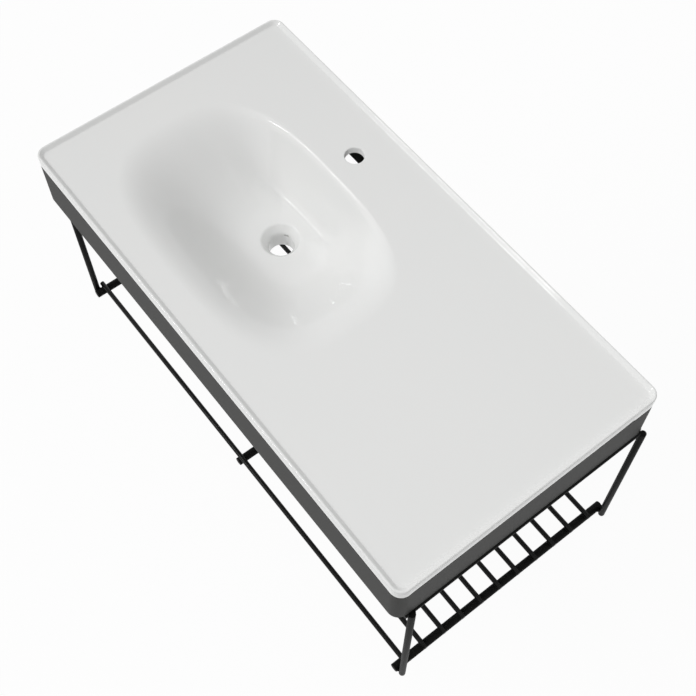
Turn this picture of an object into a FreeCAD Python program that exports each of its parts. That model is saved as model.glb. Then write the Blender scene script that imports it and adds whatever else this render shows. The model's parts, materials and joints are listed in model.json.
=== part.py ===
import FreeCAD
import Part
import math
import os

# Console sink: a ceramic basin on a painted steel frame that bolts to the wall.
# Millimetres. +X is to the right, +Y is towards the wall and +Z is up.
# The origin is on the wall face, on the basin's middle line, at the height of the wall bolts.

# Basin outline
basin_length = 1000.0
basin_depth = 520.0
basin_edge_height = 24.0
corner_radius = 20.0
bolts_below_top = 98.0

# Basin lip, deck and wall
lip_crown = 2.5
lip_slope = 8.0
deck_drop = 6.0
ceramic_wall = 14.0
rim_wall = 16.0
inner_corner_share = 0.25
top_edge_round = 2.0
low_edge_round = 1.5

# Bowl: its rim in plan is a superellipse, and its floor falls to the waste hole
bowl_left_margin = 80.0
bowl_back_margin = 134.0
bowl_front_margin = 50.0
bowl_length = 540.0
bowl_depth = 110.0
bowl_power = 3.0
outermost_share = 3.0
soft_floor_share = 0.22
crisp_floor_share = 0.61
crisp_fall_share = 0.93
soft_fall_share = 0.95
crisp_round_share = 0.14
crisp_half_angle = 42.0
crisp_fade_angle = 40.0
crisp_middle_angle = 98.0

# Holes through the ceramic
holes_left_of_bowl_middle = 7.0
tap_from_wall = 84.0
tap_hole_diameter = 35.0
tap_edge_round = 1.2
waste_from_bowl_back = 115.0
waste_diameter = 46.0
funnel_diameter = 70.0
funnel_drop = 14.0
funnel_bulge_share = 0.35
waste_boss_diameter = 78.0
waste_boss_drop = 33.0
slot_width = 10.0
slot_height = 5.0
slot_depth = 8.0
slot_below_funnel = 1.0
slot_turn = 28.0

# Skirt: one bent steel band
sheet = 2.5
skirt_height = 94.0
skirt_gap = 0.5

# Wall rail: a steel angle inside the skirt's back
rail_leg = 31.5
rail_height = 40.0
rail_wall = 3.0
rail_end_gap = 2.0
wall_hole_diameter = 11.0
wall_hole_from_end = 100.0

# Posts and top bars
bar_diameter = 12.0
end_chamfer = 0.8
weld_depth = 0.3
flat_depth = 0.5
top_bar_in = 2.9
top_bar_overhang = 12.0
post_out = 3.0
post_top_drop = 7.1
frame_height = 362.1
front_post_back = 29.0

# Shelf bars
shelf_bar_diameter = 16.0
shelf_bar_above_foot = 0.5
shelf_bar_front_overhang = 8.5
middle_bar_overhang = 8.0

# Shelf rods
rod_count = 11
rod_diameter = 9.5
rod_overhang = 10.0
front_rod_back = 12.4
back_rod_from_wall = 38.6

# Brackets and pads under the ceramic
bracket_leg = 30.0
bracket_drop = 40.0
bracket_width = 60.0
bracket_wall = 3.0
bracket_from_middle = 150.0
pad_thickness = 3.0
pad_width = 12.0
pad_length = 50.0

# Overrun of every cutting shape, the surface grids' steps and how near counts as level
overrun = 5.0
fine_step = 8.0
plain_step = 38.0
under_step = 16.0
grid_margin = 3.0
halving_steps = 40
near = 0.01

# Heights and places worked out from the sizes above
top_z = bolts_below_top
deck_z = top_z - deck_drop
edge_z = top_z - basin_edge_height
skirt_top_z = edge_z - skirt_gap
skirt_bottom_z = skirt_top_z - skirt_height
bar_radius = bar_diameter / 2
shelf_bar_radius = shelf_bar_diameter / 2
rod_radius = rod_diameter / 2
top_bar_z = skirt_bottom_z - bar_radius + flat_depth
post_top_z = skirt_bottom_z - post_top_drop
post_bottom_z = skirt_bottom_z - frame_height
shelf_bar_z = post_bottom_z + shelf_bar_above_foot + shelf_bar_radius
rod_z = shelf_bar_z + shelf_bar_radius + rod_radius - weld_depth
basin_y = -basin_depth / 2
bowl_half_length = bowl_length / 2
bowl_half_width = (basin_depth - bowl_back_margin - bowl_front_margin) / 2
bowl_x = bowl_left_margin + bowl_half_length - basin_length / 2
bowl_y = -bowl_back_margin - bowl_half_width
hole_x = bowl_x - holes_left_of_bowl_middle
waste_y = -bowl_back_margin - waste_from_bowl_back
tap_y = -tap_from_wall
wall_hole_x = basin_length / 2 - wall_hole_from_end
skirt_half = basin_length / 2
top_bar_x = skirt_half - top_bar_in
post_x = skirt_half + post_out
shelf_bar_x = post_x - bar_radius - shelf_bar_radius + weld_depth
back_post_y = -bar_radius
front_post_y = front_post_back - basin_depth
front_rod_y = front_post_y + front_rod_back
rod_pitch = (-back_rod_from_wall - front_rod_y) / (rod_count - 1)
bowl_floor_z = deck_z - bowl_depth
waste_end_z = bowl_floor_z - funnel_drop - waste_boss_drop
pad_z = edge_z - pad_thickness

UP = FreeCAD.Vector(0, 0, 1)
RIGHT = FreeCAD.Vector(1, 0, 0)
BACK = FreeCAD.Vector(0, 1, 0)


def save(shape, node):
    shape.exportStep("parts/" + node + ".step")
    print(node, round(shape.Volume), "mm3,", len(shape.Solids), "solid")


def rounded_wire(inset, radius, z):
    """The basin's outline drawn in by inset, at height z, its corners rounded to the radius."""
    half_x = basin_length / 2 - inset
    half_y = basin_depth / 2 - inset
    diagonal = radius * math.sqrt(0.5)
    edges = []
    for turn in range(4):
        side = (1, 1, -1, -1)[turn]
        rise = (-1, 1, 1, -1)[turn]
        centre = FreeCAD.Vector(side * (half_x - radius), basin_y + rise * (half_y - radius), z)
        on_x = centre + FreeCAD.Vector(side * radius, 0, 0)
        on_y = centre + FreeCAD.Vector(0, rise * radius, 0)
        middle = centre + FreeCAD.Vector(side * diagonal, rise * diagonal, 0)
        first, last = (on_y, on_x) if turn % 2 == 0 else (on_x, on_y)
        edges.append((first, middle, last))
    shapes = []
    for turn in range(4):
        first, middle, last = edges[turn]
        shapes.append(Part.Arc(first, middle, last).toShape())
        shapes.append(Part.LineSegment(last, edges[(turn + 1) % 4][0]).toShape())
    return Part.Wire(shapes)


def rounded_prism(inset, radius, low, high):
    return Part.Face(rounded_wire(inset, radius, low)).extrude(UP * (high - low))


def bowl_share(x, y):
    """0 at the waste hole, 1 on the bowl's rim and more outside it."""
    low = 0
    high = outermost_share
    for _ in range(halving_steps):
        share = (low + high) / 2
        centre_x = hole_x + (bowl_x - hole_x) * share
        centre_y = waste_y + (bowl_y - waste_y) * share
        across = abs(x - centre_x) / (bowl_half_length * share)
        along = abs(y - centre_y) / (bowl_half_width * share)
        if across ** bowl_power + along ** bowl_power > 1:
            low = share
        else:
            high = share
    return (low + high) / 2


def rounded_ramp(share, rounding):
    """A ramp from 0 to 1 whose two ends are eased over the rounding."""
    if share <= -rounding:
        return 0.0
    if share < rounding:
        return (share + rounding) ** 2 / (4 * rounding)
    if share <= 1 - rounding:
        return share
    if share < 1 + rounding:
        return 1 - (1 + rounding - share) ** 2 / (4 * rounding)
    return 1.0


def bowl_fall(x, y):
    """How far the bowl's surface lies under the deck: steep and crisp at the back, soft elsewhere."""
    share = bowl_share(x, y)
    angle = math.degrees(math.atan2(y - waste_y, x - hole_x))
    off = abs((angle - crisp_middle_angle + 180) % 360 - 180)
    fade = min(max((off - crisp_half_angle) / crisp_fade_angle, 0), 1)
    crisp = 1 - fade * fade * (3 - 2 * fade)
    round_in = crisp_round_share
    ramp = rounded_ramp((1 - share) / (1 - crisp_floor_share) - round_in, round_in)
    crisp_fall = crisp_fall_share * ramp + (1 - crisp_fall_share) * max(1 - share, 0)
    inside = min(max((share - soft_floor_share) / (1 - soft_floor_share), 0), 1)
    wave = (1 + math.cos(math.pi * inside)) / 2
    soft_fall = soft_fall_share * wave + (1 - soft_fall_share) * max(1 - share, 0) ** 2
    return bowl_depth * (crisp * crisp_fall + (1 - crisp) * soft_fall)


def steps_between(low, high, step):
    count = max(1, math.ceil((high - low) / step))
    return [low + (high - low) * k / count for k in range(count)]


def smooth_surface(rows):
    """Cubic surface shaped by rows of control points, flat wherever they are flat."""
    surface = Part.BSplineSurface()
    knots = [list(range(len(line) - 2)) for line in (rows, rows[0])]
    counts = [[4] + [1] * (len(line) - 4) + [4] for line in (rows, rows[0])]
    surface.buildFromPolesMultsKnots(rows, counts[0], counts[1], knots[0], knots[1], False, False, 3, 3)
    return surface


def surface_above(step_x, step_y, lowered):
    """Everything above the deck-and-bowl surface, lowered by a thickness."""
    reach_x = basin_length / 2 + grid_margin
    reach_y = basin_depth / 2 + grid_margin
    left = bowl_x - bowl_half_length - grid_margin
    right = bowl_x + bowl_half_length + grid_margin
    front = bowl_y - bowl_half_width - grid_margin
    back = bowl_y + bowl_half_width + grid_margin
    xs = steps_between(-reach_x, left, plain_step) + steps_between(left, right, step_x)
    xs += steps_between(right, reach_x, plain_step) + [reach_x]
    ys = steps_between(basin_y - reach_y, front, plain_step) + steps_between(front, back, step_y)
    ys += steps_between(back, basin_y + reach_y, plain_step) + [basin_y + reach_y]
    rows = []
    for x in xs:
        rows.append([FreeCAD.Vector(x, y, deck_z - lowered - bowl_fall(x, y)) for y in ys])
    return smooth_surface(rows).toShape().extrude(UP * (2 * bowl_depth))


def cylinder(radius, length, start, direction):
    return Part.makeCylinder(radius, length, start, direction)


def level_edges(shape, z):
    return [e for e in shape.Edges if max(abs(e.BoundBox.ZMin - z), abs(e.BoundBox.ZMax - z)) < near]


def make_basin():
    """A raised lip round a flat deck, the bowl let into it, and one even wall below them."""
    inner_radius = corner_radius * inner_corner_share
    edge = rounded_prism(0, corner_radius, edge_z, top_z)
    edge = edge.makeFillet(top_edge_round, level_edges(edge, top_z))
    edge = edge.makeFillet(low_edge_round, level_edges(edge, edge_z))
    rim = edge.cut(rounded_prism(rim_wall, inner_radius, edge_z - overrun, top_z + overrun))
    core = rounded_prism(rim_wall, inner_radius, waste_end_z - overrun, top_z)
    core = core.common(surface_above(under_step, under_step, ceramic_wall))
    boss = cylinder(waste_boss_diameter / 2, funnel_drop + waste_boss_drop,
                    FreeCAD.Vector(hole_x, waste_y, waste_end_z), UP)
    basin = rim.fuse(core).fuse(boss)
    basin = basin.cut(make_room().common(surface_above(fine_step, fine_step, 0)))
    return basin.cut(make_waste_cutter()).cut(make_tap_cutter()).removeSplitter()


def make_room():
    """The space inside the lip: straight above it, sloping to the deck and straight below."""
    crown_radius = corner_radius - lip_crown
    deck_inset = lip_crown + lip_slope
    deck_radius = crown_radius - lip_slope
    crown = rounded_wire(lip_crown, crown_radius, top_z)
    deck = rounded_wire(deck_inset, deck_radius, deck_z)
    slope = Part.makeLoft([crown, deck], True, True)
    above = rounded_prism(lip_crown, crown_radius, top_z, top_z + overrun)
    below = rounded_prism(deck_inset, deck_radius, waste_end_z, deck_z)
    return slope.fuse(above).fuse(below)


def make_waste_cutter():
    """Rounded funnel, bore and the overflow's outlet slot, turned a little left of the bore's back."""
    bore = waste_diameter / 2
    mouth = funnel_diameter / 2
    floor = bowl_floor_z
    low = floor - funnel_drop
    bulge = funnel_drop * funnel_bulge_share
    points = [
        FreeCAD.Vector(0, 0, floor + bowl_depth),
        FreeCAD.Vector(mouth, 0, floor + bowl_depth),
        FreeCAD.Vector(mouth, 0, floor),
        FreeCAD.Vector((mouth + bore) / 2 - bulge / 2, 0, (floor + low) / 2 - bulge / 2),
        FreeCAD.Vector(bore, 0, low),
        FreeCAD.Vector(bore, 0, waste_end_z - overrun),
        FreeCAD.Vector(0, 0, waste_end_z - overrun),
    ]
    curve = Part.Arc(points[2], points[3], points[4]).toShape()
    lines = [(0, 1), (1, 2), (4, 5), (5, 6), (6, 0)]
    sides = [Part.LineSegment(points[a], points[b]).toShape() for a, b in lines]
    wire = Part.Wire(Part.__sortEdges__(sides + [curve]))
    funnel = Part.Face(wire).revolve(FreeCAD.Vector(0, 0, 0), UP, 360)
    funnel.translate(FreeCAD.Vector(hole_x, waste_y, 0))
    slot = Part.makeBox(slot_width, bore + slot_depth, slot_height)
    slot_z = low - slot_below_funnel - slot_height
    slot.translate(FreeCAD.Vector(hole_x - slot_width / 2, waste_y, slot_z))
    slot.rotate(FreeCAD.Vector(hole_x, waste_y, 0), UP, slot_turn)
    return funnel.fuse(slot)


def make_tap_cutter():
    hole = tap_hole_diameter / 2
    low = deck_z - ceramic_wall - overrun
    bore = cylinder(hole, ceramic_wall + deck_drop + 2 * overrun, FreeCAD.Vector(hole_x, tap_y, low), UP)
    mouth = Part.makeCone(hole, hole + tap_edge_round + overrun, tap_edge_round + overrun,
                          FreeCAD.Vector(hole_x, tap_y, deck_z - tap_edge_round), UP)
    return bore.fuse(mouth)


def wall_holes():
    holes = []
    for side in (-1, 1):
        start = FreeCAD.Vector(side * wall_hole_x, -sheet - rail_leg - overrun, 0)
        holes.append(cylinder(wall_hole_diameter / 2, rail_leg + sheet + 2 * overrun, start, BACK))
    return holes[0].fuse(holes[1])


def make_skirt():
    band = rounded_prism(0, corner_radius, skirt_bottom_z, skirt_top_z)
    inside = rounded_prism(sheet, corner_radius - sheet, skirt_bottom_z - overrun, skirt_top_z + overrun)
    return band.cut(inside).cut(wall_holes())


def make_back_rail():
    length = basin_length - 2 * corner_radius - 2 * rail_end_gap
    upright = Part.makeBox(length, rail_wall, rail_height,
                           FreeCAD.Vector(-length / 2, -sheet - rail_wall, skirt_bottom_z))
    foot = Part.makeBox(length, rail_leg, rail_wall,
                        FreeCAD.Vector(-length / 2, -sheet - rail_leg, skirt_bottom_z))
    return upright.fuse(foot).removeSplitter().cut(wall_holes())


def make_bar(radius, start, length, direction):
    """A round bar with both ends chamfered."""
    bar = cylinder(radius, length, start, direction)
    ends = [e for e in bar.Edges if len(e.Vertexes) == 1]
    return bar.makeChamfer(end_chamfer, ends)


def make_top_bar(side):
    """A bar under the skirt, flattened where the skirt stands on it and coped round both posts."""
    start = FreeCAD.Vector(side * top_bar_x, front_post_y - top_bar_overhang, top_bar_z)
    bar = cylinder(bar_radius, back_post_y - start.y, start, BACK)
    flat = Part.makeBox(bar_diameter, basin_depth + 2 * overrun, bar_radius)
    flat.translate(FreeCAD.Vector(start.x - bar_radius, -basin_depth - overrun, skirt_bottom_z))
    bar = bar.cut(flat)
    for y in (front_post_y, back_post_y):
        bar = bar.cut(cylinder(bar_radius, frame_height + 2 * overrun,
                               FreeCAD.Vector(side * post_x, y, post_bottom_z), UP))
    return bar


def make_post(side, y):
    height = post_top_z - post_bottom_z
    return make_bar(bar_radius, FreeCAD.Vector(side * post_x, y, post_bottom_z), height, UP)


def make_end_shelf_bar(side):
    front = front_post_y - shelf_bar_front_overhang
    start = FreeCAD.Vector(side * shelf_bar_x, front, shelf_bar_z)
    return make_bar(shelf_bar_radius, start, -front, BACK)


def make_middle_shelf_bar():
    front = front_rod_y - middle_bar_overhang
    length = (rod_count - 1) * rod_pitch + 2 * middle_bar_overhang
    return make_bar(shelf_bar_radius, FreeCAD.Vector(0, front, shelf_bar_z), length, BACK)


def make_shelf_rod(index):
    half = shelf_bar_x + rod_overhang
    start = FreeCAD.Vector(-half, front_rod_y + index * rod_pitch, rod_z)
    return make_bar(rod_radius, start, 2 * half, RIGHT)


def make_bracket(side, y):
    """An angle on the skirt's side wall, its upper leg turned in under the ceramic."""
    wall = side * (skirt_half - sheet)
    low = pad_z - bracket_drop
    upright = Part.makeBox(bracket_wall, bracket_width, bracket_drop)
    upright.translate(FreeCAD.Vector(min(wall, wall - side * bracket_wall), y - bracket_width / 2, low))
    shelf = Part.makeBox(bracket_leg, bracket_width, bracket_wall)
    shelf.translate(FreeCAD.Vector(min(wall, wall - side * bracket_leg), y - bracket_width / 2,
                                   pad_z - bracket_wall))
    return upright.fuse(shelf).removeSplitter()


def make_pad(side, y):
    wall = side * (skirt_half - sheet)
    pad = Part.makeBox(pad_width, pad_length, pad_thickness)
    pad.translate(FreeCAD.Vector(min(wall, wall - side * pad_width), y - pad_length / 2, pad_z))
    return pad


os.makedirs("parts", exist_ok=True)

save(make_basin(), "basin")
save(make_skirt(), "skirt")
save(make_back_rail(), "back_rail")
save(make_middle_shelf_bar(), "shelf_bar_middle")

for side, name in ((-1, "left"), (1, "right")):
    save(make_top_bar(side), "top_bar_" + name)
    save(make_end_shelf_bar(side), "shelf_bar_" + name)
    for row, post_y, bracket_y in (
        ("front", front_post_y, basin_y - bracket_from_middle),
        ("back", back_post_y, basin_y + bracket_from_middle),
    ):
        save(make_post(side, post_y), "post_" + row + "_" + name)
        save(make_bracket(side, bracket_y), "bracket_" + row + "_" + name)
        save(make_pad(side, bracket_y), "pad_" + row + "_" + name)

for index in range(rod_count):
    save(make_shelf_rod(index), "shelf_rod_%02d" % (index + 1))
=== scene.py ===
import json
import math

import bmesh
import bpy
from mathutils import Matrix, Vector


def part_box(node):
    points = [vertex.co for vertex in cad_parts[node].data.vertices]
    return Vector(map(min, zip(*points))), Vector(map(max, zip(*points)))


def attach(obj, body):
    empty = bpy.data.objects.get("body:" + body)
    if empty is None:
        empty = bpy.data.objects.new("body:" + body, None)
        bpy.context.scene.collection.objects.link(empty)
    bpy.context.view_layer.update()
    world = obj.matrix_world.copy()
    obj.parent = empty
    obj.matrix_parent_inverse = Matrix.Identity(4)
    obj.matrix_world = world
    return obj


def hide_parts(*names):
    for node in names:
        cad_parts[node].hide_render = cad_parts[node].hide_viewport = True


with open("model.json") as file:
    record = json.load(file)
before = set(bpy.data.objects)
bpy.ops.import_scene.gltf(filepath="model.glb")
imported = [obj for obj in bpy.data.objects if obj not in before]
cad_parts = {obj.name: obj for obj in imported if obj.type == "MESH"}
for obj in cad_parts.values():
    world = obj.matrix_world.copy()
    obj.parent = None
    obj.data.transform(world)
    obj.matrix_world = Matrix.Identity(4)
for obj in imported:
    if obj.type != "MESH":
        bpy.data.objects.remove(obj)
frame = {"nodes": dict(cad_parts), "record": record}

mm = 0.001
smoothAngle = math.radians(35)
sameSpot = 0.01 * mm
nodes = frame["nodes"]
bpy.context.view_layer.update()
bpy.ops.object.select_all(action="DESELECT")
print("frame loaded:", len(nodes), "nodes")


# Helpers for modelling

def activate(piece):
    bpy.ops.object.select_all(action="DESELECT")
    piece.select_set(True)
    bpy.context.view_layer.objects.active = piece


def newPiece(name):
    piece = bpy.context.object
    piece.name = name
    piece.data.name = name
    return piece


def settle(piece):  # puts the place and size of a piece into its mesh
    activate(piece)
    bpy.ops.object.transform_apply(location=True, rotation=True, scale=True)


def smoothByAngle(piece):
    activate(piece)
    bpy.ops.object.shade_smooth_by_angle(angle=smoothAngle)


def addModifier(piece, kind, **settings):
    activate(piece)
    modifier = piece.modifiers.new(kind.title(), kind)
    for key, value in settings.items():
        setattr(modifier, key, value)
    bpy.ops.object.modifier_apply(modifier=modifier.name)


def cutWith(piece, cutter):
    addModifier(piece, "BOOLEAN", operation="DIFFERENCE", object=cutter, solver="EXACT")
    bpy.data.objects.remove(cutter)


def growRings(piece, rings):  # extrudes the piece's selected ring once for each ring of points
    bpy.ops.object.mode_set(mode="EDIT")
    for ring in rings:
        bpy.ops.mesh.extrude_region_move()
        shape = bmesh.from_edit_mesh(piece.data)
        turn = shape.verts.layers.int["turn"]
        for v in shape.verts:
            if v.select:
                v.co = ring[v[turn]]
    bmesh.update_edit_mesh(piece.data)
    bpy.ops.mesh.select_all(action="SELECT")
    bpy.ops.mesh.remove_doubles(threshold=sameSpot)
    bpy.ops.mesh.normals_make_consistent(inside=False)
    bpy.ops.object.mode_set(mode="OBJECT")


def startRing(name, points):  # a circle whose points go where the first ring says
    bpy.ops.mesh.primitive_circle_add(vertices=len(points), radius=1.0)
    piece = newPiece(name)
    numbers = piece.data.attributes.new("turn", "INT", "POINT")
    for index, point in enumerate(points):
        piece.data.vertices[index].co = point
        numbers.data[index].value = index
    return piece


# Camera, from the photograph's viewpoint

cameraPlace = {
    "location": (0.8403, -0.8811, 1.6916),
    "azimuth": 51.807,
    "elevation": 60.766,
    "roll": 0.279,
    "lens": 60.41,
    "sensor": 36.0,
}


def makeCamera(place):
    azimuth = math.radians(place["azimuth"])
    elevation = math.radians(place["elevation"])
    roll = math.radians(place["roll"])
    back = Vector((math.sin(azimuth) * math.cos(elevation),
                   -math.cos(azimuth) * math.cos(elevation),
                   math.sin(elevation)))
    level = (-back).cross(Vector((0, 0, 1))).normalized()
    upright = level.cross(-back)
    right = math.cos(roll) * level + math.sin(roll) * upright
    up = -math.sin(roll) * level + math.cos(roll) * upright
    bpy.ops.object.camera_add(location=place["location"])
    camera = bpy.context.object
    turned = Matrix((right, up, back)).transposed().to_4x4()
    camera.matrix_world = Matrix.Translation(place["location"]) @ turned
    camera.data.lens = place["lens"]
    camera.data.sensor_width = place["sensor"]
    bpy.context.scene.camera = camera


makeCamera(cameraPlace)
print("camera placed")


# Basin: one glazed ceramic shell, from the waste hole up through the bowl and over the lip

basin = {
    "edgeHeight": 24 * mm,
    "corner": 20 * mm,
    "crown": 2.5 * mm,
    "slope": 8.5 * mm,
    "deckDrop": 6 * mm,
    "topRound": 2.2 * mm,
    "lowRound": 1.6 * mm,
    "wall": 14 * mm,
    "rimWall": 16 * mm,
    "innerCorner": 5 * mm,
    "leftMargin": 80 * mm,
    "backMargin": 134 * mm,
    "frontMargin": 50 * mm,
    "bowlLength": 540 * mm,
    "bowlDepth": 110 * mm,
    "bowlPower": 3.0,
    "outermostShare": 3.0,
    "softFloor": 0.22,
    "crispFloor": 0.61,
    "crispFall": 0.93,
    "softFall": 0.95,
    "crispRound": 0.14,
    "crispHalfAngle": 42.0,
    "crispFade": 40.0,
    "crispMiddle": 98.0,
    "holesLeft": 7 * mm,
    "tapFromWall": 84 * mm,
    "tapRadius": 17.5 * mm,
    "tapRound": 1.6 * mm,
    "wasteFromBack": 115 * mm,
    "wasteRadius": 23 * mm,
    "funnelRadius": 35 * mm,
    "funnelDrop": 14 * mm,
    "throatRound": 5 * mm,
    "mouthRound": 3 * mm,
    "bossRadius": 39 * mm,
    "slot": (10 * mm, 8 * mm, 5 * mm),
    "slotBelowFunnel": 1.0 * mm,
    "slotRound": 2 * mm,
    "slotTurn": 28.0,
    # How finely the basin's mesh is made, and how far its cutters reach past it
    "halvings": 32,
    "sideStep": 8 * mm,
    "cornerSteps": 12,
    "curveSteps": 8,
    "boreSteps": 8,
    "floorSteps": 7,
    "bowlShares": ((0.38, 0.012, 9), (0.49, 0.022, 17), (0.866, 0.008, 18)),  # first, step and count
    "rimShare": 1.01,
    "deckShares": (0, 0.03, 0.08, 0.2, 0.4, 0.6, 0.8, 0.92, 0.98, 1),
    "slopeSteps": 12,
    "slopeEase": 0.15,
    "topSteps": 6,
    "lowSteps": 4,
    "underShares": (0, 0.3, 0.6, 0.9, 1),
    "underStep": 0.035,
    "underRings": 17,
    "underRound": 2 * mm,
    "underGap": 1 * mm,
    "tapSides": 96,
    "tapSteps": 8,
    "tapBelow": 5 * mm,
    "tapAbove": 10 * mm,
    "slotSteps": 4,
}
basinLow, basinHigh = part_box("basin")
topZ = basinHigh.z
deckZ = topZ - basin["deckDrop"]
edgeZ = topZ - basin["edgeHeight"]
wasteEndZ = basinLow.z
floorZ = deckZ - basin["bowlDepth"]
bowlHalf = Vector((basin["bowlLength"] / 2,
                   (basinHigh.y - basinLow.y - basin["backMargin"] - basin["frontMargin"]) / 2))
bowlMiddle = Vector((basinLow.x + basin["leftMargin"] + bowlHalf.x,
                     basinHigh.y - basin["backMargin"] - bowlHalf.y))
waste = Vector((bowlMiddle.x - basin["holesLeft"],
                basinHigh.y - basin["backMargin"] - basin["wasteFromBack"]))
tap = Vector((waste.x, basinHigh.y - basin["tapFromWall"]))


def bowlShare(x, y):  # 0 at the waste hole and 1 on the bowl's rim
    low, high = 0.0, basin["outermostShare"]
    for _ in range(basin["halvings"]):
        share = (low + high) / 2
        middle = waste + (bowlMiddle - waste) * share
        across = abs(x - middle.x) / (bowlHalf.x * share)
        along = abs(y - middle.y) / (bowlHalf.y * share)
        if across ** basin["bowlPower"] + along ** basin["bowlPower"] > 1:
            low = share
        else:
            high = share
    return (low + high) / 2


def roundedRamp(share, rounding):
    if share <= -rounding:
        return 0.0
    if share < rounding:
        return (share + rounding) ** 2 / (4 * rounding)
    if share <= 1 - rounding:
        return share
    if share < 1 + rounding:
        return 1 - (1 + rounding - share) ** 2 / (4 * rounding)
    return 1.0


def bowlFall(x, y):
    share = bowlShare(x, y)
    angle = math.degrees(math.atan2(y - waste.y, x - waste.x))
    off = abs((angle - basin["crispMiddle"] + 180) % 360 - 180)
    fade = min(max((off - basin["crispHalfAngle"]) / basin["crispFade"], 0), 1)
    crisp = 1 - fade * fade * (3 - 2 * fade)
    roundIn = basin["crispRound"]
    ramp = roundedRamp((1 - share) / (1 - basin["crispFloor"]) - roundIn, roundIn)
    crispFall = basin["crispFall"] * ramp + (1 - basin["crispFall"]) * max(1 - share, 0)
    inside = min(max((share - basin["softFloor"]) / (1 - basin["softFloor"]), 0), 1)
    wave = (1 + math.cos(math.pi * inside)) / 2
    softFall = basin["softFall"] * wave + (1 - basin["softFall"]) * max(1 - share, 0) ** 2
    return basin["bowlDepth"] * (crisp * crispFall + (1 - crisp) * softFall)


def outlineRing(inset, radius, z):  # rounded rectangle, its points even along the sides
    half = (basinHigh - basinLow) / 2 - Vector((inset, inset, 0))
    middle = (basinHigh + basinLow) / 2
    points = []
    for quarter in range(4):
        side = (1, -1, -1, 1)[quarter]
        rise = (1, 1, -1, -1)[quarter]
        centre = Vector((middle.x + side * (half.x - radius),
                         middle.y + rise * (half.y - radius), z))
        for step in range(basin["cornerSteps"] + 1):
            angle = math.pi / 2 * (quarter + step / basin["cornerSteps"])
            points.append(centre + radius * Vector((math.cos(angle), math.sin(angle), 0)))
        nextSide = (-1, -1, 1, 1)[quarter]
        nextRise = (1, -1, -1, 1)[quarter]
        follow = Vector((middle.x + nextSide * (half.x - radius),
                         middle.y + nextRise * (half.y - radius), z))
        angle = math.pi / 2 * (quarter + 1)
        follow += radius * Vector((math.cos(angle), math.sin(angle), 0))
        whole = basinHigh - basinLow
        length = (whole.x if quarter % 2 == 0 else whole.y) - 2 * basin["corner"]
        count = round(length / basin["sideStep"])
        start = points[-1]
        points += [start.lerp(follow, step / count) for step in range(1, count)]
    return points


outline = outlineRing(0, basin["corner"], 0)
turns = [math.atan2(p.y - bowlMiddle.y, p.x - bowlMiddle.x) for p in outline]


def bowlRing(share, lowered=0.0):
    middle = waste + (bowlMiddle - waste) * share
    points = []
    for turn in turns:
        c, s = abs(math.cos(turn)), abs(math.sin(turn))
        power = basin["bowlPower"]
        reach = share * ((c / bowlHalf.x) ** power + (s / bowlHalf.y) ** power) ** (-1 / power)
        x = middle.x + reach * math.cos(turn)
        y = middle.y + reach * math.sin(turn)
        points.append(Vector((x, y, deckZ - bowlFall(x, y) - lowered)))
    return points


def wasteRing(radius, z=None, lowered=0.0):
    points = []
    for turn in turns:
        x = waste.x + radius * math.cos(turn)
        y = waste.y + radius * math.sin(turn)
        points.append(Vector((x, y, deckZ - bowlFall(x, y) - lowered if z is None else z)))
    return points


def between(first, last, share):
    return [a.lerp(b, share) for a, b in zip(first, last)]


def onSurface(ring):
    return [Vector((p.x, p.y, deckZ - bowlFall(p.x, p.y))) for p in ring]


def roundedCorner(first, corner, last):
    points = []
    steps = basin["curveSteps"]
    for step in range(steps + 1):
        share = step / steps
        points.append(first.lerp(corner, share).lerp(corner.lerp(last, share), share))
    return points


def funnelRings():  # a cone rounded into the bore below it and into the bowl's floor above it
    drop = basin["funnelDrop"]
    throat = Vector((basin["wasteRadius"], 0))
    mouth = Vector((basin["funnelRadius"], drop))
    slope = (mouth - throat).normalized()
    profile = roundedCorner(throat - Vector((0, basin["throatRound"])), throat,
                            throat + slope * basin["throatRound"])
    profile += roundedCorner(mouth - slope * basin["mouthRound"], mouth,
                             mouth + Vector((basin["mouthRound"], 0)))
    rings = []
    for radius, height in profile:
        ring = wasteRing(radius, floorZ - drop + height)
        if height > 0:
            for point, edge in zip(ring, wasteRing(max(radius, mouth.x))):
                point.z += (edge.z - floorZ) * height / drop
        rings.append(ring)
    return rings


def drainRings():  # up the bore, round the funnel and on to the bowl's first ring
    bore = basin["wasteRadius"]
    low = floorZ - basin["funnelDrop"] - basin["throatRound"]
    steps = basin["boreSteps"]
    rings = [wasteRing(bore, wasteEndZ + (low - wasteEndZ) * k / steps) for k in range(1, steps)]
    rings += funnelRings()
    floorRing = rings[-1]
    firstBowl = bowlRing(basin["bowlShares"][0][0])
    steps = basin["floorSteps"]
    return rings + [onSurface(between(floorRing, firstBowl, k / steps)) for k in range(1, steps)]


def bowlAndDeckRings():
    rings = []
    for first, step, count in basin["bowlShares"]:
        rings += [bowlRing(first + step * k) for k in range(count)]
    deckInset = basin["crown"] + basin["slope"]
    rim = bowlRing(basin["rimShare"])
    deckEdge = outlineRing(deckInset, basin["corner"] - deckInset, deckZ)
    return rings + [between(rim, deckEdge, share) for share in basin["deckShares"]]


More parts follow.
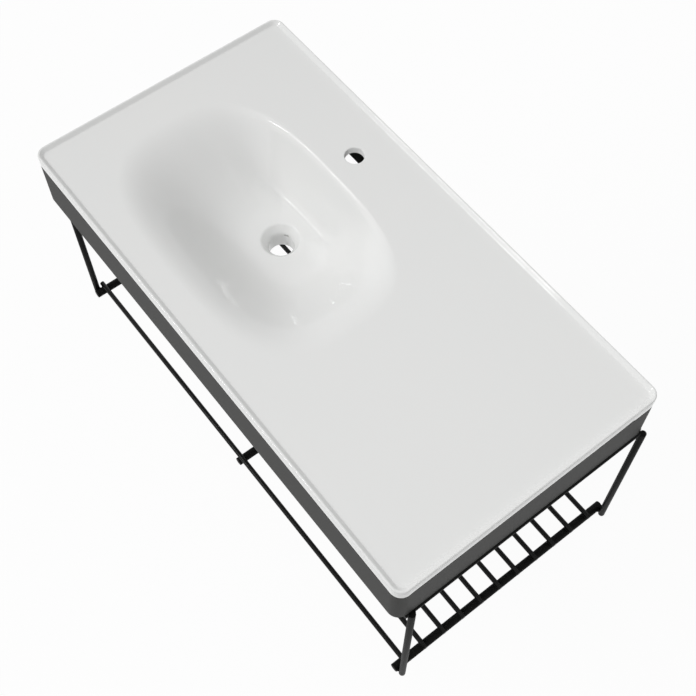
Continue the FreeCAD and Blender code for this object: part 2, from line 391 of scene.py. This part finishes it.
def lipRings():  # the lip's slope, eased at both ends, and its two rounded edges
    rings = []
    ease = basin["slopeEase"]
    for k in range(1, basin["slopeSteps"] + 1):
        share = k / basin["slopeSteps"]
        inset = basin["crown"] + basin["slope"] - basin["slope"] * share
        rise = roundedRamp(share * (1 + 2 * ease) - ease, ease)
        rings.append(outlineRing(inset, basin["corner"] - inset, deckZ + basin["deckDrop"] * rise))
    for k in range(basin["topSteps"] + 1):
        angle = math.pi / 2 * k / basin["topSteps"]
        inset = basin["topRound"] * (1 - math.sin(angle))
        z = topZ - basin["topRound"] * (1 - math.cos(angle))
        rings.append(outlineRing(inset, basin["corner"] - inset, z))
    for k in range(basin["lowSteps"] + 1):
        angle = math.pi / 2 * k / basin["lowSteps"]
        inset = basin["lowRound"] * (1 - math.cos(angle))
        z = edgeZ + basin["lowRound"] * (1 - math.sin(angle))
        rings.append(outlineRing(inset, basin["corner"] - inset, z))
    return rings


def underRings():  # the underside, from the rim's inner wall back to the waste boss
    wall, rimWall, corner = basin["wall"], basin["rimWall"], basin["innerCorner"]
    rounding, gap = basin["underRound"], basin["underGap"]
    boss = basin["bossRadius"]
    underZ = deckZ - wall
    rings = [outlineRing(rimWall - rounding, corner, edgeZ)]
    rings += [outlineRing(rimWall, corner, edgeZ + rounding), outlineRing(rimWall, corner, underZ)]
    underEdge = outlineRing(rimWall + gap, corner, underZ)
    underRim = bowlRing(basin["rimShare"], wall)
    rings += [between(underEdge, underRim, share) for share in basin["underShares"]]
    count = basin["underRings"]
    rings += [bowlRing(1 - basin["underStep"] * k, wall) for k in range(1, count + 1)]
    rings += [wasteRing(boss + rounding, None, wall), wasteRing(boss, floorZ - wall - rounding)]
    rings += [wasteRing(boss, wasteEndZ + gap), wasteRing(boss - gap, wasteEndZ)]
    return rings + [wasteRing(basin["wasteRadius"], wasteEndZ)]


def makeBasin():
    piece = startRing("glazed_basin", wasteRing(basin["wasteRadius"], wasteEndZ))
    growRings(piece, drainRings() + bowlAndDeckRings() + lipRings() + underRings())
    return piece


glazedBasin = makeBasin()
print("basin:", len(glazedBasin.data.vertices), "vertices")


def makeTapCutter():  # a drill with a rounded shoulder, so the glaze rolls into the hole
    radius, shoulder = basin["tapRadius"], basin["tapRound"]
    count = basin["tapSides"]
    profile = [(radius, deckZ - basin["wall"] - basin["tapBelow"]), (radius, deckZ - shoulder)]
    for k in range(1, basin["tapSteps"] + 1):
        angle = math.pi / 2 * k / basin["tapSteps"]
        profile.append((radius + shoulder * (1 - math.cos(angle)),
                        deckZ - shoulder * (1 - math.sin(angle))))
    profile.append((radius + shoulder, deckZ + basin["tapAbove"]))
    rings = [[Vector((tap.x + r * math.cos(2 * math.pi * k / count),
                      tap.y + r * math.sin(2 * math.pi * k / count), z)) for k in range(count)]
             for r, z in profile]
    cutter = startRing("tap_cutter", rings[0])
    growRings(cutter, rings[1:])
    activate(cutter)
    bpy.ops.object.mode_set(mode="EDIT")
    bpy.ops.mesh.select_all(action="DESELECT")
    bpy.ops.mesh.select_non_manifold()
    bpy.ops.mesh.edge_face_add()
    bpy.ops.mesh.select_all(action="SELECT")
    bpy.ops.mesh.normals_make_consistent(inside=False)
    bpy.ops.object.mode_set(mode="OBJECT")
    return cutter


def makeSlotCutter():
    width, depth, height = basin["slot"]
    reach = basin["wasteRadius"] + depth
    z = floorZ - basin["funnelDrop"] - basin["slotBelowFunnel"] - height / 2
    bpy.ops.mesh.primitive_cube_add(size=1.0, location=(waste.x, waste.y + reach / 2, z))
    cutter = newPiece("slot_cutter")
    cutter.scale = (width, reach, height)
    settle(cutter)
    addModifier(cutter, "BEVEL", width=basin["slotRound"], segments=basin["slotSteps"])
    turn = -math.radians(basin["slotTurn"])  # rotate turns the other way when no window is open
    bpy.ops.transform.rotate(value=turn, orient_axis="Z", center_override=(waste.x, waste.y, z))
    settle(cutter)
    return cutter


cutWith(glazedBasin, makeTapCutter())
cutWith(glazedBasin, makeSlotCutter())
smoothByAngle(glazedBasin)
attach(glazedBasin, "root")
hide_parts("basin")
print("basin holes cut")


# Bars: posts, shelf bars and rods, each end lightly rounded where it was sawn and deburred

bar = {
    "sides": 56,
    "endRound": 0.8 * mm,
    "endSteps": 3,
    "endAngle": 60.0,
}
barKinds = {
    "rod": sorted(name for name in nodes if name.startswith("shelf_rod_")),
    "shelf bar": ["shelf_bar_left", "shelf_bar_right"],
    "middle bar": ["shelf_bar_middle"],
    "post": ["post_%s_%s" % (row, side) for row in ("front", "back") for side in ("left", "right")],
}


def middleOfNode(nodeName):
    low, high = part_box(nodeName)
    return (low + high) / 2


def makeBar(nodeName):
    low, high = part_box(nodeName)
    size = high - low
    along = max(range(3), key=lambda axis: size[axis])
    bpy.ops.mesh.primitive_cylinder_add(vertices=bar["sides"], radius=min(size) / 2, depth=size[along],
                                        location=(low + high) / 2)
    piece = newPiece("round_" + nodeName)
    piece.rotation_euler = ((0, math.pi / 2, 0), (math.pi / 2, 0, 0), (0, 0, 0))[along]
    settle(piece)
    addModifier(piece, "BEVEL", width=bar["endRound"], segments=bar["endSteps"],
                limit_method="ANGLE", angle_limit=math.radians(bar["endAngle"]))
    smoothByAngle(piece)
    return piece


def copyBar(piece, fromNode, nodeName):
    activate(piece)
    bpy.ops.object.duplicate()
    twin = newPiece("round_" + nodeName)
    twin.location = middleOfNode(nodeName) - middleOfNode(fromNode)
    settle(twin)
    return twin


def placeBar(piece, nodeName):
    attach(piece, "root")
    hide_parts(nodeName)


roundBars = []
for names in barKinds.values():
    first = makeBar(names[0])
    roundBars += [first] + [copyBar(first, names[0], name) for name in names[1:]]
for piece in roundBars:
    placeBar(piece, piece.name.removeprefix("round_"))
print("bars made:", len(roundBars))


# Weld beads: small fillets in the corners where the bars meet

weld = {
    "length": 5.5 * mm,
    "thickness": 1.9 * mm,
    "besideRod": 3.9 * mm,
    "aboveShelfBar": 0.6 * mm,
    "besidePost": 4.6 * mm,
    "insideTopBar": 2.0 * mm,
    "belowTopBar": 3.5 * mm,
    "lumps": 0.25 * mm,
    "lumpSize": 3.0 * mm,
    "sides": 20,
    "rings": 12,
}


def makeBead(place, along):
    bpy.ops.mesh.primitive_uv_sphere_add(segments=weld["sides"], ring_count=weld["rings"], radius=1.0,
                                         location=place)
    bead = bpy.context.object
    bead.scale = [weld["length"] if axis == along else weld["thickness"] for axis in range(3)]
    return bead


def joinBeads(name, beads):
    bpy.ops.object.select_all(action="DESELECT")
    for bead in beads:
        bead.select_set(True)
    bpy.context.view_layer.objects.active = beads[0]
    bpy.ops.object.join()
    piece = newPiece(name)
    settle(piece)
    lumps = bpy.data.textures.new(name + "_lumps", "CLOUDS")
    lumps.noise_scale = weld["lumpSize"]
    addModifier(piece, "DISPLACE", texture=lumps, texture_coords="GLOBAL", strength=weld["lumps"],
                mid_level=0.5)
    activate(piece)
    bpy.ops.object.shade_smooth()
    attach(piece, "root")
    return piece


def rodBeads(barName):
    beads = []
    low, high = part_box(barName)
    for rodName in barKinds["rod"]:
        rod = middleOfNode(rodName)
        for side in (-1, 1):
            place = Vector(((low.x + high.x) / 2, rod.y + side * weld["besideRod"],
                            high.z + weld["aboveShelfBar"]))
            beads.append(makeBead(place, 0))
    return beads


def postBeads(side):
    beads = []
    inward = -1 if side == "right" else 1
    shelfBar = middleOfNode("shelf_bar_" + side)
    topBar = middleOfNode("top_bar_" + side)
    for row in ("front", "back"):
        low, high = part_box("post_%s_%s" % (row, side))
        post = (low + high) / 2
        touch = post.x + inward * (high.x - low.x) / 2
        for turn in (-1, 1):
            if row == "front" or turn < 0:
                beads.append(makeBead((touch, post.y + turn * weld["besidePost"], shelfBar.z), 2))
                above = Vector((touch - inward * weld["insideTopBar"],
                                post.y + turn * (high.x - low.x) / 2,
                                topBar.z - weld["belowTopBar"]))
                beads.append(makeBead(above, 0))
    return beads


weldBeads = [
    joinBeads("welds_left", rodBeads("shelf_bar_left") + postBeads("left")),
    joinBeads("welds_middle", rodBeads("shelf_bar_middle")),
    joinBeads("welds_right", rodBeads("shelf_bar_right") + postBeads("right")),
]
print("weld beads made")


# Sheet pieces keep their solids' shape, with their edges broken as after deburring and coating

edges = {
    "widths": {"skirt": 0.6 * mm, "back_rail": 0.6 * mm, "bracket": 0.8 * mm, "pad": 0.5 * mm},
    "steps": 2,
    "angle": 50.0,
}


def breakEdges(piece, width):
    bevel = piece.modifiers.new("broken_edges", "BEVEL")
    bevel.width = width
    bevel.segments = edges["steps"]
    bevel.limit_method = "ANGLE"
    bevel.angle_limit = math.radians(edges["angle"])
    bevel.harden_normals = True


for nodeName, node in nodes.items():
    for family, width in edges["widths"].items():
        if nodeName.startswith(family):
            breakEdges(node, width)
            smoothByAngle(node)
for side in ("left", "right"):
    smoothByAngle(nodes["top_bar_" + side])
print("edges broken")


# Materials

class Socket:  # lets shader maths be written as sums
    def __init__(self, shader, output):
        self.shader = shader
        self.output = output

    def maths(self, operation, *values):
        return self.shader.add("ShaderNodeMath", {"operation": operation}, list(values))

    def __add__(self, other):
        return self.maths("ADD", self, other)

    def __mul__(self, other):
        return self.maths("MULTIPLY", self, other)


class Shader:
    def __init__(self, name):
        self.material = bpy.data.materials.new(name)
        self.material.use_nodes = True
        self.tree = self.material.node_tree
        self.tree.nodes.clear()
        self.place = self.add("ShaderNodeTexCoord", {}, {}, "Object")

    def add(self, kind, settings, values, output=0):
        node = self.tree.nodes.new(kind)
        for key, value in settings.items():
            setattr(node, key, value)
        pairs = enumerate(values) if isinstance(values, list) else values.items()
        for key, value in pairs:
            if isinstance(value, Socket):
                self.tree.links.new(value.output, node.inputs[key])
            else:
                node.inputs[key].default_value = value
        return Socket(self, node.outputs[output]) if node.outputs else None

    def noise(self, scale, detail=2.0, roughness=0.5):
        return self.add("ShaderNodeTexNoise", {},
                        {"Vector": self.place, "Scale": scale, "Detail": detail, "Roughness": roughness})

    def mixColour(self, factor, first, second):
        return self.add("ShaderNodeMix", {"data_type": "RGBA"}, {0: factor, 6: first, 7: second}, 2)

    def bump(self, height, strength, distance):
        return self.add("ShaderNodeBump", {},
                        {"Height": height, "Strength": strength, "Distance": distance})

    def finish(self, surface):
        self.add("ShaderNodeOutputMaterial", {}, {"Surface": surface})
        return self.material


glaze = {
    "white": (0.800, 0.800, 0.790, 1),
    "cool": (0.785, 0.792, 0.785, 1),
    "cloudScale": 6.0,
    "cloudDetail": 3.0,
    "roughness": 0.04,
    "uneven": 0.02,
    "unevenScale": 30.0,
    "ior": 1.5,
    "coat": 0.1,
    "coatRoughness": 0.03,
    "peel": 0.02,
    "peelScale": 90.0,
    "peelDepth": 1 * mm,
}


def makeGlaze():
    shader = Shader("white_glaze")
    cloud = shader.noise(glaze["cloudScale"], glaze["cloudDetail"])
    peel = shader.noise(glaze["peelScale"])
    colour = shader.mixColour(cloud, glaze["white"], glaze["cool"])
    surface = shader.add("ShaderNodeBsdfPrincipled", {}, {
        "Base Color": colour,
        "Roughness": shader.noise(glaze["unevenScale"]) * glaze["uneven"] + glaze["roughness"],
        "IOR": glaze["ior"],
        "Coat Weight": glaze["coat"],
        "Coat Roughness": glaze["coatRoughness"],
        "Normal": shader.bump(peel, glaze["peel"], glaze["peelDepth"]),
    })
    return shader.finish(surface)


coat = {
    "sheet": (0.024, 0.024, 0.0228, 1),
    "sheetLight": (0.0268, 0.0268, 0.0252, 1),
    "sheetIor": 1.22,
    "sheetRoughness": 0.48,
    "bar": (0.005, 0.005, 0.005, 1),
    "barLight": (0.0065, 0.0065, 0.006, 1),
    "barIor": 1.14,
    "barRoughness": 0.42,
    "rodIor": 1.25,
    "rodRoughness": 0.2,
    "cloudScale": 14.0,
    "uneven": 0.1,
    "grain": 0.07,
    "grainScale": 1800.0,
    "grainDetail": 3.0,
    "grainRoughness": 0.6,
    "grainDepth": 0.2 * mm,
}


def makeCoat(name, dark, light, ior, roughness):
    shader = Shader(name)
    grain = shader.noise(coat["grainScale"], coat["grainDetail"], coat["grainRoughness"])
    cloud = shader.noise(coat["cloudScale"])
    surface = shader.add("ShaderNodeBsdfPrincipled", {}, {
        "Base Color": shader.mixColour(cloud, dark, light),
        "Roughness": grain * coat["uneven"] + roughness,
        "IOR": ior,
        "Normal": shader.bump(grain, coat["grain"], coat["grainDepth"]),
    })
    return shader.finish(surface)


rubber = {
    "dark": (0.018, 0.018, 0.018, 1),
    "light": (0.03, 0.03, 0.03, 1),
    "roughness": 0.7,
    "uneven": 0.1,
    "grain": 0.2,
    "grainScale": 900.0,
    "grainDepth": 0.2 * mm,
}


def makeRubber():
    shader = Shader("pad_rubber")
    grain = shader.noise(rubber["grainScale"])
    surface = shader.add("ShaderNodeBsdfPrincipled", {}, {
        "Base Color": shader.mixColour(grain, rubber["dark"], rubber["light"]),
        "Roughness": grain * rubber["uneven"] + rubber["roughness"],
        "Normal": shader.bump(grain, rubber["grain"], rubber["grainDepth"]),
    })
    return shader.finish(surface)


finishes = {
    "ceramic": makeGlaze(),
    "sheet_coat": makeCoat("sheet_coat", coat["sheet"], coat["sheetLight"], coat["sheetIor"],
                           coat["sheetRoughness"]),
    "bar_coat": makeCoat("bar_coat", coat["bar"], coat["barLight"], coat["barIor"],
                         coat["barRoughness"]),
    "rod_coat": makeCoat("rod_coat", coat["bar"], coat["barLight"], coat["rodIor"],
                         coat["rodRoughness"]),
    "pad_rubber": makeRubber(),
}


def dress(piece, slotName):
    piece.data.materials.clear()
    piece.data.materials.append(finishes[slotName])


slotOf = {part["node"]: part["material_slot"] for part in frame["record"]["subparts"]}
for nodeName, node in nodes.items():
    dress(node, slotOf[nodeName])
dress(glazedBasin, "ceramic")
for piece in roundBars + weldBeads:
    dress(piece, "rod_coat" if "rod" in piece.name else "bar_coat")
print("materials made")


# Stage: a pale floor far below, a white surround, a key lamp, an overhead lamp and two wide soft lamps

stage = {
    "floorBelowTop": 850 * mm,
    "floorSize": 30.0,
    "floorShade": (0.90, 0.90, 0.90, 1),
    "floorKept": 0.06,
    "surround": 0.37,
    "keyPower": 50.0,
    "keySize": (2.0, 0.6),
    "keyDistance": 6.0,
    "keyDirection": (-0.394, -0.682, 0.616),
    "keyAim": (-0.1, -0.26, 0.05),
    "softLights": {
        "soft_key": {"direction": (-0.304, -0.544, 0.782), "strength": 1.15, "spread": 70.0},
        "soft_left": {"direction": (-0.99, 0.0, 0.139), "strength": 0.31, "spread": 50.0},
    },
    "softDistance": 4.0,
    "overheadPlace": (0.5, -0.3, 1.6),
    "overheadAim": (0.0, -0.26, 0.09),
    "overheadSize": 0.8,
    "overheadPower": 4.2,
}


def makeFloor():
    bpy.ops.mesh.primitive_plane_add(size=stage["floorSize"],
                                     location=(0, 0, topZ - stage["floorBelowTop"]))
    floor = newPiece("floor")
    settle(floor)
    shader = Shader("floor_white")
    path = shader.add("ShaderNodeLightPath", {}, {}, "Is Camera Ray")
    glossy = shader.add("ShaderNodeLightPath", {}, {}, "Is Glossy Ray")
    seen = path.maths("MAXIMUM", path, glossy)
    matt = shader.add("ShaderNodeBsdfDiffuse", {}, {"Color": stage["floorShade"]})
    white = shader.add("ShaderNodeEmission", {}, {"Color": (1, 1, 1, 1), "Strength": 1.0})
    surface = shader.add("ShaderNodeMixShader", {}, [seen * (1 - stage["floorKept"]), matt, white])
    floor.data.materials.append(shader.finish(surface))


def makeSurround():
    world = bpy.data.worlds.new("white_surround")
    bpy.context.scene.world = world
    world.use_nodes = True
    tree = world.node_tree
    tree.nodes.clear()
    path = tree.nodes.new("ShaderNodeLightPath")
    seen = tree.nodes.new("ShaderNodeMath")
    seen.operation = "MAXIMUM"
    tree.links.new(path.outputs["Is Camera Ray"], seen.inputs[0])
    tree.links.new(path.outputs["Is Glossy Ray"], seen.inputs[1])
    strength = tree.nodes.new("ShaderNodeMath")
    strength.operation = "MULTIPLY_ADD"
    tree.links.new(seen.outputs[0], strength.inputs[0])
    strength.inputs[1].default_value = 1.0 - stage["surround"]
    strength.inputs[2].default_value = stage["surround"]
    background = tree.nodes.new("ShaderNodeBackground")
    background.inputs["Color"].default_value = (1, 1, 1, 1)
    tree.links.new(strength.outputs[0], background.inputs["Strength"])
    output = tree.nodes.new("ShaderNodeOutputWorld")
    tree.links.new(background.outputs[0], output.inputs["Surface"])


def aimLamp(lamp, direction):
    lamp.rotation_mode = "QUATERNION"
    lamp.rotation_quaternion = (-direction).to_track_quat("-Z", "Y")


def makeKey():
    direction = Vector(stage["keyDirection"]).normalized()
    place = Vector(stage["keyAim"]) + direction * stage["keyDistance"]
    bpy.ops.object.light_add(type="AREA", location=place)
    key = bpy.context.object
    key.name = "key_lamp"
    key.data.shape = "RECTANGLE"
    key.data.size, key.data.size_y = stage["keySize"]
    key.data.energy = stage["keyPower"]
    aimLamp(key, direction)


def makeOverhead():
    bpy.ops.object.light_add(type="AREA", location=stage["overheadPlace"])
    lamp = bpy.context.object
    lamp.name = "soft_overhead"
    lamp.data.size = stage["overheadSize"]
    lamp.data.energy = stage["overheadPower"]
    lamp.visible_glossy = False
    aimLamp(lamp, Vector(stage["overheadPlace"]) - Vector(stage["overheadAim"]))


def makeSoftLight(name, light):
    direction = Vector(light["direction"]).normalized()
    bpy.ops.object.light_add(type="SUN", location=direction * stage["softDistance"])
    lamp = bpy.context.object
    lamp.name = name
    lamp.data.energy = light["strength"]
    lamp.data.angle = math.radians(light["spread"])
    lamp.visible_glossy = False
    aimLamp(lamp, direction)


makeFloor()
makeSurround()
makeKey()
makeOverhead()
for name, light in stage["softLights"].items():
    makeSoftLight(name, light)
bpy.context.scene.view_settings.view_transform = "Standard"
print("stage and lamps made")
